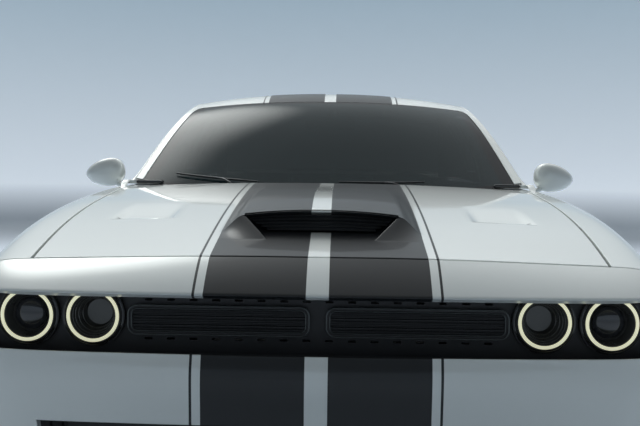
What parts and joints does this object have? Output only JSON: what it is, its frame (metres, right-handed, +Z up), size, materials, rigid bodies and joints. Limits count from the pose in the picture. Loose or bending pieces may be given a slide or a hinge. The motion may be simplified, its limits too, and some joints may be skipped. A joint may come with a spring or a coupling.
{
  "type": "muscle car",
  "caption": "Two-door muscle car coupe with hood scoop, round halo headlamps, centre stripes, hinged doors, hood and trunk, steered front wheels and rolling wheels.",
  "frame": {"origin": "on the ground under the middle of the car", "axes": "+Z up, -Y towards the front of the car, +X towards its left side"},
  "size_m": [2.1536, 5.02, 1.4463],
  "materials": {
    "paint": "pearl white paint with black stripes",
    "glass": "dark tint",
    "tyre": "matte",
    "alloy": "polished",
    "lamp": "clear",
    "red_lens": "clear red",
    "black_plastic": "satin",
    "cabin_plastic": "grained",
    "leather": "soft",
    "underbody": "satin",
    "steel": "satin"
  },
  "bodies": {
    "body": {"front_fascia": "paint", "front_splitter": "black_plastic", "grille": "black_plastic", "lower_grille": "black_plastic", "headlamps": "lamp", "fender_left": "paint", "fender_right": "paint", "sill_left": "paint", "sill_right": "paint", "quarter_left": "paint", "quarter_right": "paint", "quarter_glass": "glass", "side_rails": "paint", "roof": "paint", "windscreen": "glass", "rear_glass": "glass", "deck_panel": "paint", "cowl": "black_plastic", "wipers": "black_plastic", "rear_fascia": "paint", "tail_lamps": "red_lens", "floor_pan": "underbody", "hinge_posts": "underbody", "wheelhouses": "black_plastic", "parcel_shelf": "cabin_plastic", "dashboard": "cabin_plastic", "front_seats": "leather", "rear_seat": "leather", "engine": "steel", "driveline": "steel", "exhaust": "steel", "front_subframe": "steel", "rear_subframe": "steel"},
    "hood": {"hood": "paint", "scoop_grille": "black_plastic"},
    "trunk": {"trunk_lid": "paint", "rear_spoiler": "black_plastic"},
    "left_door": {"door_left": "paint", "door_glass_left": "glass", "mirror_left": "paint"},
    "right_door": {"door_right": "paint", "door_glass_right": "glass", "mirror_right": "paint"},
    "steering": {"steering_wheel": "cabin_plastic"},
    "left_knuckle": {"knuckle_front_left": "steel"},
    "right_knuckle": {"knuckle_front_right": "steel"},
    "wheel_front_left": {"rim_front_left": "alloy", "tyre_front_left": "tyre"},
    "wheel_front_right": {"rim_front_right": "alloy", "tyre_front_right": "tyre"},
    "wheel_rear_left": {"rim_rear_left": "alloy", "tyre_rear_left": "tyre"},
    "wheel_rear_right": {"rim_rear_right": "alloy", "tyre_rear_right": "tyre"}
  },
  "joints": [
    {"name": "hood_hinge", "type": "hinge", "parent": "body", "child": "hood", "pos_m": [0, -0.82301, 0.90413], "axis": [-1, 0, 0], "range_deg": [0, 50]},
    {"name": "trunk_hinge", "type": "hinge", "parent": "body", "child": "trunk", "pos_m": [0, 1.67031, 1.01623], "axis": [1, 0, 0], "range_deg": [0, 60]},
    {"name": "left_door_hinge", "type": "hinge", "parent": "body", "child": "left_door", "pos_m": [0.89, -0.94944, 0.3915], "axis": [0, 0, -1], "range_deg": [0, 58]},
    {"name": "right_door_hinge", "type": "hinge", "parent": "body", "child": "right_door", "pos_m": [-0.89, -0.94944, 0.3915], "axis": [0, 0, 1], "range_deg": [0, 58]},
    {"name": "left_steer", "type": "hinge", "parent": "body", "child": "left_knuckle", "pos_m": [0.716, -1.565, 0.364], "axis": [0, 0, 1], "range_deg": [-32, 32]},
    {"name": "right_steer", "type": "hinge", "parent": "body", "child": "right_knuckle", "pos_m": [-0.716, -1.565, 0.364], "axis": [0, 0, 1], "range_deg": [-32, 32]},
    {"name": "steering_turn", "type": "hinge", "parent": "body", "child": "steering", "pos_m": [0.37, -0.275, 0.862], "axis": [0, 0.9135, 0.4067], "range_deg": [-448, 448]},
    {"name": "front_left_roll", "type": "hinge", "parent": "left_knuckle", "child": "wheel_front_left", "pos_m": [0.806, -1.565, 0.364], "axis": [1, 0, 0], "continuous": true},
    {"name": "front_right_roll", "type": "hinge", "parent": "right_knuckle", "child": "wheel_front_right", "pos_m": [-0.806, -1.565, 0.364], "axis": [1, 0, 0], "continuous": true},
    {"name": "rear_left_roll", "type": "hinge", "parent": "body", "child": "wheel_rear_left", "pos_m": [0.806, 1.381, 0.364], "axis": [1, 0, 0], "continuous": true},
    {"name": "rear_right_roll", "type": "hinge", "parent": "body", "child": "wheel_rear_right", "pos_m": [-0.806, 1.381, 0.364], "axis": [1, 0, 0], "continuous": true}
  ],
  "couplings": [
    {"joint": "right_steer", "follows": "left_steer", "ratio": 1},
    {"joint": "steering_turn", "follows": "left_steer", "ratio": 14}
  ]
}
